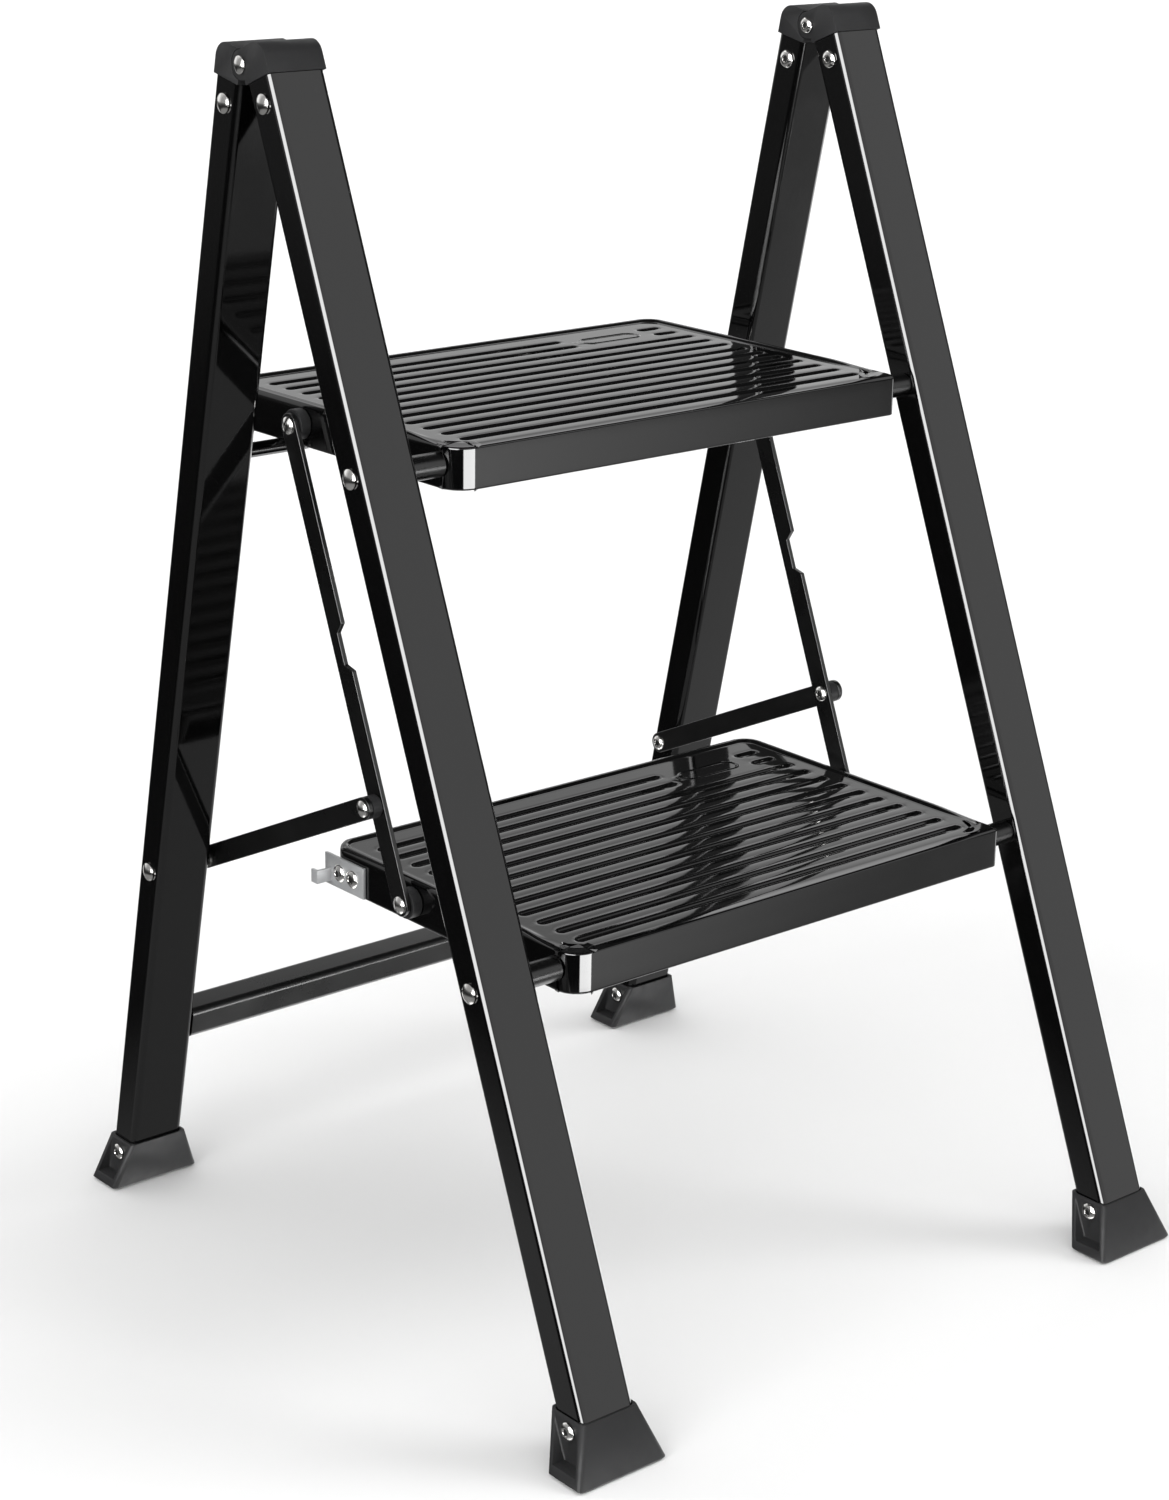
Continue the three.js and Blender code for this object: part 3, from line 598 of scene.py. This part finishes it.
def rivet(node, ends):
    """ends gives the form of the low-X and of the high-X end: domed, rolled, or flat where it lies
    inside another piece."""
    x0, x1 = span_x(node)
    radius = radius_about_x(node)
    shank = 0.5 * radius
    y, z = middle(node)
    forms = {"domed": domed_end, "rolled": rolled_end}
    profile, shaded_stretches = [], []
    for end, x, sign in ((ends[0], x0, -1), (ends[1], x1, 1)):
        if end == "flat":
            stretch = [(x, 0), (x, shank)]
        else:
            seat = x - sign * HEAD_HEIGHT
            stretch = forms[end](seat, sign, radius) + [(seat, shank)]
        if sign > 0:
            stretch = stretch[::-1]
        first = len(profile)
        profile += stretch
        # A rolled end's dimple is coloured dark as painted shade.
        if end == "rolled":
            shaded_stretches += [first, first + 1] if sign < 0 else [len(profile) - 3, len(profile) - 2]
    made = lathe(f"{node}_turned", profile, y, z, NICKEL, shaded_stretches=shaded_stretches)
    flip_if_inside_out(made.data)
    keep_flat(made)
    stands_for(made, node)


def outward_first(sign, outer, inner):
    """The (low-X, high-X) ends of a rivet whose outer end faces away from the ladder's middle."""
    return (outer, inner) if sign < 0 else (inner, outer)


for side, sign in SIDES.items():
    for node in ("hinge_pin", "front_cap_rivet", "rear_cap_rivet", "brace_rivet"):
        rivet(f"{side}_{node}", outward_first(sign, "domed", "rolled"))
    for node in ("front_foot_rivet", "rear_foot_rivet"):
        rivet(f"{side}_{node}", ("rolled", "rolled"))
    rivet(f"{side}_brace_pivot_outer_rivet", outward_first(sign, "domed", "flat"))
    rivet(f"{side}_brace_pivot_inner_rivet", outward_first(sign, "flat", "rolled"))
    for level in LEVELS:
        rivet(f"{level}_{side}_link_rivet", outward_first(sign, "domed", "rolled"))
for level in LEVELS:
    rivet(f"{level}_step_rod", ("domed", "domed"))
for node in ("catch_front_rivet", "catch_rear_rivet"):
    rivet(node, ("rolled", "domed"))


def spacer(node, bore, material):
    """A short turned collar with softened rims."""
    x0, x1 = span_x(node)
    radius = radius_about_x(node)
    y, z = middle(node)
    edge = min(COLLAR_EDGE, (x1 - x0) / 4)
    profile = [
        (x0, bore),
        (x0, radius - edge),
        (x0 + 0.3 * edge, radius - 0.3 * edge),
        (x0 + edge, radius),
        (x1 - edge, radius),
        (x1 - 0.3 * edge, radius - 0.3 * edge),
        (x1, radius - edge),
        (x1, bore),
        (x0, bore),
    ]
    made = lathe(f"{node}_collar", profile, y, z, material)
    weld_seam(made)
    keep_flat(made)
    stands_for(made, node)


for side in SIDES:
    for level in LEVELS:
        spacer(f"{level}_{side}_rod_spacer", ROD_BORE, DULL_ENAMEL)
        spacer(f"{level}_{side}_link_spacer", RIVET_BORE, PLASTIC)
    spacer(f"{side}_brace_spacer", RIVET_BORE, PLASTIC)
    spacer(f"{side}_brace_pivot_washer", RIVET_BORE, NICKEL)


# ---------------------------------------------------------------- links


def link_outline(length, half, notched):
    """A bar with round ends from (0, 0) to (0, -length), with a notch in its front edge."""
    outline = list(arc((0, 0), half, 0, 180, 24))
    if notched:
        deep = -half + NOTCH_DEPTH
        outline += [
            (-half, -NOTCH_FROM),
            (deep, -NOTCH_FROM - NOTCH_SLOPE),
            (deep, -NOTCH_TO + NOTCH_SLOPE),
            (-half, -NOTCH_TO),
        ]
    return outline + list(arc((0, -length), half, 180, 360, 24))


def link(node, top, foot, notched=False):
    """A flat bar from the pivot at its top to the one at its foot."""
    down = (foot - top).normalized()
    across = square_to(down)
    if across.x < 0:
        across = -across
    spread = span_along(node, across)
    outline = link_outline((foot - top).length, (spread[1] - spread[0]) / 2, notched)

    def place(a, b, x):
        point = top + across * a - down * b
        return x, point.x, point.y

    made = prism(f"{node}_bar", outline, place, *span_x(node), DULL_ENAMEL)
    round_edges(made, LINK_EDGE)
    stands_for(made, node)


for side in SIDES:
    link(f"{side}_long_link", LINK_TOP, LINK_FOOT, notched=True)
    link(f"{side}_short_link", BRACE_TOP, BRACE_FOOT)


# ---------------------------------------------------------------- steps


def smooth(low, high, value):
    """From 0 at low to 1 at high, level at both."""
    t = np.clip((value - low) / (high - low), 0, 1)
    return t * t * (3 - 2 * t)


def groove_rows():
    """The middle line and the stretches in x of every groove."""
    for row in range(GROOVE_COUNT):
        y = GROOVE_FIRST + row * GROOVE_PITCH
        if row < GROOVE_COUNT - PLAIN_ROWS:
            yield y, [(-GROOVE_REACH, GROOVE_REACH)]
        else:
            yield y, [(-GROOVE_REACH, PLAIN_FIELD[0]), (PLAIN_FIELD[1], GROOVE_REACH)]


def grooves(x, y):
    """Height of the grooves and of the bands' dip beside them."""
    height = np.zeros_like(x)
    for row, stretches in groove_rows():
        for x0, x1 in stretches:
            near = np.clip(x, x0 + GROOVE_HALF_WIDTH, x1 - GROOVE_HALF_WIDTH)
            away = np.hypot(x - near, y - row)
            wall = smooth(0.55 * GROOVE_HALF_WIDTH, 1.15 * GROOVE_HALF_WIDTH, away)
            shoulder = smooth(GROOVE_HALF_WIDTH, 1.9 * GROOVE_HALF_WIDTH, away)
            height -= (GROOVE_DEPTH - GROOVE_SHOULDER) * (1 - wall) + GROOVE_SHOULDER * (1 - shoulder)
    return height


def crowns(x, y):
    """Height of the crown of the bands between the grooves. The plain field and the rim have none."""
    wave = 0.5 - 0.5 * np.cos(2 * math.pi * (y - GROOVE_FIRST) / GROOVE_PITCH)
    last = GROOVE_FIRST + (GROOVE_COUNT - 1) * GROOVE_PITCH
    inside = smooth(0, 5 * MM, y - GROOVE_FIRST) * smooth(0, 5 * MM, last - y)
    inside *= smooth(0, 8 * MM, GROOVE_REACH - 2 * MM - np.abs(x))
    first_plain = GROOVE_FIRST + (GROOVE_COUNT - PLAIN_ROWS - 0.9) * GROOVE_PITCH
    field = smooth(-4 * MM, 3 * MM, x - PLAIN_FIELD[0]) * smooth(-4 * MM, 3 * MM, PLAIN_FIELD[1] - x)
    inside *= 1 - field * smooth(0, 3 * MM, y - first_plain)
    return BAND_CROWN * wave * inside


def capsule_ridge(x, y):
    """Height of the ridge that outlines the blank capsule."""
    straight = PLATE_HALF_LENGTH - PLATE_RADIUS
    along = np.clip(x - PLATE_CENTRE[0], -straight, straight)
    edge = np.hypot(x - PLATE_CENTRE[0] - along, y - PLATE_CENTRE[1]) - PLATE_RADIUS
    return RIDGE_HEIGHT * (1 - smooth(0, RIDGE_HALF_WIDTH, np.abs(edge)))


def graded(low, high, places, coarse, fine, reach):
    """Rising grid lines: coarse, but fine within reach of the given places."""
    lines, at = [low], low
    while at < high:
        near = any(abs(at - p) < reach for p in places)
        at += fine if near else coarse
        lines.append(at)
    lines = np.array(lines)
    return low + (lines - low) * (high - low) / (lines[-1] - low)


def step_mesh():
    """The pressed sheet of a step, from the return at the foot of its skirt to the grooved top."""
    low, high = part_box("upper_step")
    half, front, rear = high.x, low.y - STEP_PIVOT["upper"].x, high.y - STEP_PIVOT["upper"].x
    reach = half - REAR_CORNER
    groove_ends = [-GROOVE_REACH, GROOVE_REACH, *PLAIN_FIELD]
    capsule_ends = [PLATE_CENTRE[0] + s * (PLATE_HALF_LENGTH - PLATE_RADIUS / 2) for s in (-1, 1)]
    xs = graded(-reach, reach, groove_ends + capsule_ends, *GRID_IN_X)
    rows = [y for y, _ in groove_rows()]
    capsule_sides = [PLATE_CENTRE[1] + s * PLATE_RADIUS for s in (-1, 1)]
    ys = graded(front + GRID_FRONT, rear - REAR_CORNER, rows + capsule_sides, *GRID_IN_Y)
    count_x, count_y = len(xs), len(ys)

    def grid(i, j):
        return j * count_x + i

    # Once round the rim of the top's grid, against the clock: the grid point, the point of the
    # outline outside it (at a corner, where its sides would meet), the outline's normal, and for a
    # corner the two ways inwards with the radii of the skirt and of the top.
    rim, outer, normal, rounding = [], [], [], []

    def straight(cells, way, fixed):
        for i, j in cells:
            rim.append(grid(i, j))
            outer.append((xs[i] if way[0] == 0 else fixed, ys[j] if way[1] == 0 else fixed))
            normal.append(way)
            rounding.append((0, 0, 0, 0))

    def corner(cell, outermost, low_radius, high_radius, start):
        off_middle = (outermost[0], outermost[1] - (front + rear) / 2)
        inward = [-math.copysign(1, place) for place in off_middle]
        for k in range(13):
            turn = math.radians(start + 45 * (1 - math.cos(math.pi * k / 12)))
            rim.append(grid(*cell))
            outer.append(outermost)
            normal.append((math.cos(turn), math.sin(turn)))
            rounding.append((*inward, low_radius, high_radius))

    straight([(i, 0) for i in range(count_x)], (0, -1), front)
    corner((count_x - 1, 0), (half, front), SKIRT_CORNER[RIGHT], TOP_CORNER[RIGHT], 270)
    straight([(count_x - 1, j) for j in range(count_y)], (1, 0), half)
    corner((count_x - 1, count_y - 1), (half, rear), REAR_CORNER, REAR_CORNER, 0)
    straight([(i, count_y - 1) for i in reversed(range(count_x))], (0, 1), rear)
    corner((0, count_y - 1), (-half, rear), REAR_CORNER, REAR_CORNER, 90)
    straight([(0, j) for j in reversed(range(count_y))], (-1, 0), -half)
    corner((0, 0), (-half, front), SKIRT_CORNER[LEFT], TOP_CORNER[LEFT], 180)

    outer, normal, rounding = np.array(outer), np.array(normal), np.array(rounding)
    inward, low_radius, high_radius = rounding[:, :2], rounding[:, 2:3], rounding[:, 3:]
    cornered = high_radius > 0

    def outline(inset, lift):
        """The outline drawn in by inset. Lift is 0 for the skirt's corners and 1 for the top's."""
        radius = np.maximum((1 - lift) * low_radius + lift * high_radius - inset, 0.1 * MM)
        bend = outer + inward * (inset + radius) + normal * radius
        return np.where(cornered, bend, outer - normal * inset)

    back = smooth(*BEAD_BACK, outer[:, 1] - front)
    turned = BEAD_TURN * smooth(reach - BEAD_FADE, reach, outer[:, 0])
    beaded = (back + (1 - back) * turned)[:, None]
    x, y = np.meshgrid(xs, ys)
    top = STEP_TOP + grooves(x, y) + crowns(x, y) + capsule_ridge(x, y)
    vertices = [np.stack([x.ravel(), y.ravel(), top.ravel()], axis=1)]
    profile = [(side, side) for side in SKIRT] + list(zip(SIDE_EDGE, FRONT_EDGE))
    for (side_in, side_z), (front_in, front_z) in profile:
        inset = (beaded * side_in + (1 - beaded) * front_in) * MM
        z = (beaded * side_z + (1 - beaded) * front_z) * MM
        vertices.append(np.hstack([outline(inset, smooth(0, CORNERS_OF_TOP_AT, side_in)), z]))
    faces = []
    for j in range(count_y - 1):
        for i in range(count_x - 1):
            faces.append([grid(i, j), grid(i + 1, j), grid(i + 1, j + 1), grid(i, j + 1)])
    count, base = len(rim), count_x * count_y
    rings = [[base + k * count + i for i in range(count)] for k in range(len(profile))] + [rim]
    for lower, upper in zip(rings, rings[1:]):
        for i in range(count):
            j = (i + 1) % count
            face = list(dict.fromkeys([lower[i], lower[j], upper[j], upper[i]]))
            if len(face) > 2:
                faces.append(face)
    return np.vstack(vertices), faces


step_points, step_faces = step_mesh()
for level in LEVELS:
    there = step_points + np.array([0, *STEP_PIVOT[level]])
    made = piece(f"{level}_step_pan", there, step_faces, ENAMEL, sharp=60)
    weld_seam(made)
    sheet = made.modifiers.new("sheet", "SOLIDIFY")
    sheet.thickness = STEP_SHEET
    sheet.offset = -1
    stands_for(made, f"{level}_step")


# ---------------------------------------------------------------- pieces that keep their CAD shape


def finished(node, material, edge):
    """A CAD node in its own finish, with its edges softened."""
    shown = frame["nodes"][node]
    shown.data.materials.clear()
    shown.data.materials.append(material)
    shown.data.shade_smooth()
    weld_seam(shown)
    flat = shown.modifiers.new("flat", "DECIMATE")
    flat.decimate_type = "DISSOLVE"
    flat.angle_limit = math.radians(1)
    round_edges(shown, edge)


for side in SIDES:
    for end in DOWN:
        finished(f"{side}_{end}_foot", PLASTIC, FOOT_EDGE)
        finished(f"{side}_{end}_hinge_cap", PLASTIC, CAP_EDGE)
finished("catch_plate", ZINC, CATCH_EDGE)


# ---------------------------------------------------------------- studio


def facing(direction, roll=0.0):
    """A rotation that looks along direction, level but for roll in degrees."""
    turned = Vector(direction).to_track_quat("-Z", "Y")
    return turned @ Matrix.Rotation(math.radians(roll), 3, "Z").to_quaternion()


def camera():
    azimuth, elevation = math.radians(CAMERA_AZIMUTH), math.radians(CAMERA_ELEVATION)
    level = math.cos(elevation)
    way = Vector((math.sin(azimuth) * level, math.cos(azimuth) * level, -math.sin(elevation)))
    data = bpy.data.cameras.new("camera")
    data.lens = CAMERA_LENS
    data.sensor_width = 36
    made = bpy.data.objects.new("camera", data)
    made.location = CAMERA_AT
    made.rotation_mode = "QUATERNION"
    made.rotation_quaternion = facing(way, CAMERA_ROLL)
    bpy.context.scene.collection.objects.link(made)
    bpy.context.scene.camera = made


def backdrop():
    """A pale floor, flat round the ladder and curved up far away, which the gloss doesn't mirror."""
    steps, rings, vertices = 96, [], []
    for radius, z in FLOOR:
        ring = []
        for i in range(steps if radius else 1):
            turn = 2 * math.pi * i / steps
            ring.append(len(vertices))
            vertices.append((radius * math.cos(turn), radius * math.sin(turn), z))
        rings.append(ring)
    faces = []
    for a, b in zip(rings, rings[1:]):
        for i in range(steps):
            j = (i + 1) % steps
            corners = [a[i % len(a)], b[i % len(b)], b[j % len(b)], a[j % len(a)]]
            faces.append(list(dict.fromkeys(corners)))
    m = Shader("pale_floor")
    m.link(m.ramp(m.noise(1.5), [(0.3, 0.515), (0.7, 0.525)]), "Base Color")
    m.set(Roughness=1.0)
    m.shader.inputs["Specular IOR Level"].default_value = 0.0
    made = piece("floor", vertices, faces, m.material)
    made.visible_glossy = False


def soft_light(name, way, strength, spread):
    """Even light that falls along way. Its spread in degrees softens its shadows."""
    data = bpy.data.lights.new(name, "SUN")
    data.energy = strength
    data.angle = math.radians(spread)
    made = bpy.data.objects.new(name, data)
    made.rotation_mode = "QUATERNION"
    made.rotation_quaternion = facing(way)
    made.visible_glossy = False
    bpy.context.scene.collection.objects.link(made)


def sky():
    """What the gloss mirrors: a soft room, bands below the horizon, a low bright panel in front and
    a tall one on the left. Angles are in degrees, and the azimuth runs from the front to the right."""
    world = bpy.data.worlds.new("studio")
    world.use_nodes = True
    bpy.context.scene.world = world
    nodes, links = world.node_tree.nodes, world.node_tree.links

    def maths(operation, *values):
        node = nodes.new("ShaderNodeMath")
        node.operation = operation
        for socket, value in zip(node.inputs, values):
            if isinstance(value, (int, float)):
                socket.default_value = value
            else:
                links.new(value, socket)
        return node.outputs["Value"]

    def rise(value, low, high, first=0.0, last=1.0):
        """From first at low to last at high, and level beyond them."""
        node = nodes.new("ShaderNodeMapRange")
        for key, number in (("From Min", low), ("From Max", high), ("To Min", first), ("To Max", last)):
            node.inputs[key].default_value = number
        links.new(value, node.inputs["Value"])
        return node.outputs["Result"]

    def product(first, *others):
        for other in others:
            first = maths("MULTIPLY", first, other)
        return first

    def blend(factor, first, last):
        """First where the factor is 0 and last where it is 1."""
        return maths("ADD", product(first, maths("SUBTRACT", 1, factor)), product(last, factor))

    def round_the_horizon(band):
        """The brightness of a band at the azimuth."""
        node = nodes.new("ShaderNodeValToRGB")
        elements = node.color_ramp.elements
        while len(elements) < len(band):
            elements.new(0.5)
        for element, (at, level) in zip(elements, band):
            element.position = (at + 180) / 360
            element.color = (level, level, level, 1)
        links.new(rise(azimuth, -180, 180), node.inputs["Fac"])
        return node.outputs["Color"]

    parts = nodes.new("ShaderNodeSeparateXYZ")
    links.new(nodes.new("ShaderNodeTexCoord").outputs["Generated"], parts.inputs[0])
    x, y, z = parts.outputs
    azimuth = maths("DEGREES", maths("ARCTAN2", x, maths("MULTIPLY", y, -1)))
    elevation = maths("DEGREES", maths("ARCSINE", z))

    front = rise(y, 0.3, -0.3)
    left = product(rise(x, -0.3, -0.7), rise(elevation, 60, 30))
    right_gap = product(rise(azimuth, 56, 62), rise(azimuth, 125, 120))
    rear = maths("ADD", rise(elevation, 23, 36, 0.45, 1.5), rise(elevation, 23, 15, 0.0, 0.3))
    rear = product(rear, rise(azimuth, 139, 130, 1.0, 1.5))

    # The room above the horizon: even in front, graded behind, dim on the left, and dark in a gap
    # on the right, high up and just at the horizon.
    above = blend(front, rear, rise(elevation, -2, 2, 0.1, 0.8))
    above = blend(left, above, 0.35)
    above = blend(right_gap, above, 0.05)
    above = blend(rise(elevation, 34, 41), above, 0.05)
    above = blend(rise(elevation, -4, -1), 0.08, above)

    # Below it: the two bands, and an even brightness underfoot.
    lower, upper = round_the_horizon(LOWER_BAND), round_the_horizon(UPPER_BAND)
    below = blend(rise(elevation, -27, -23), lower, upper)
    below = blend(rise(elevation, -54, -48), UNDERFOOT, below)
    level = blend(rise(elevation, -12, -8), below, above)

    low_panel = product(
        rise(elevation, -26, -24),
        rise(elevation, -8, -10),
        rise(azimuth, -24, -21),
        rise(azimuth, 34.5, 33),
    )
    high_panel = product(
        rise(elevation, -9, -6),
        rise(elevation, 35, 31),
        rise(azimuth, -98, -92),
        rise(azimuth, -40, -50),
    )
    level = blend(low_panel, level, PANEL_LEVEL)
    level = blend(high_panel, level, PANEL_LEVEL)

    background = nodes["Background"]
    background.inputs["Color"].default_value = (1, 1, 1, 1)
    links.new(level, background.inputs["Strength"])


camera()
backdrop()
soft_light("overhead_light", (0, 0, -1), strength=3.9, spread=130)
soft_light("right_light", (-0.62, 0.35, -0.7), strength=1.4, spread=24)
sky()
bpy.context.scene.view_settings.view_transform = "Standard"
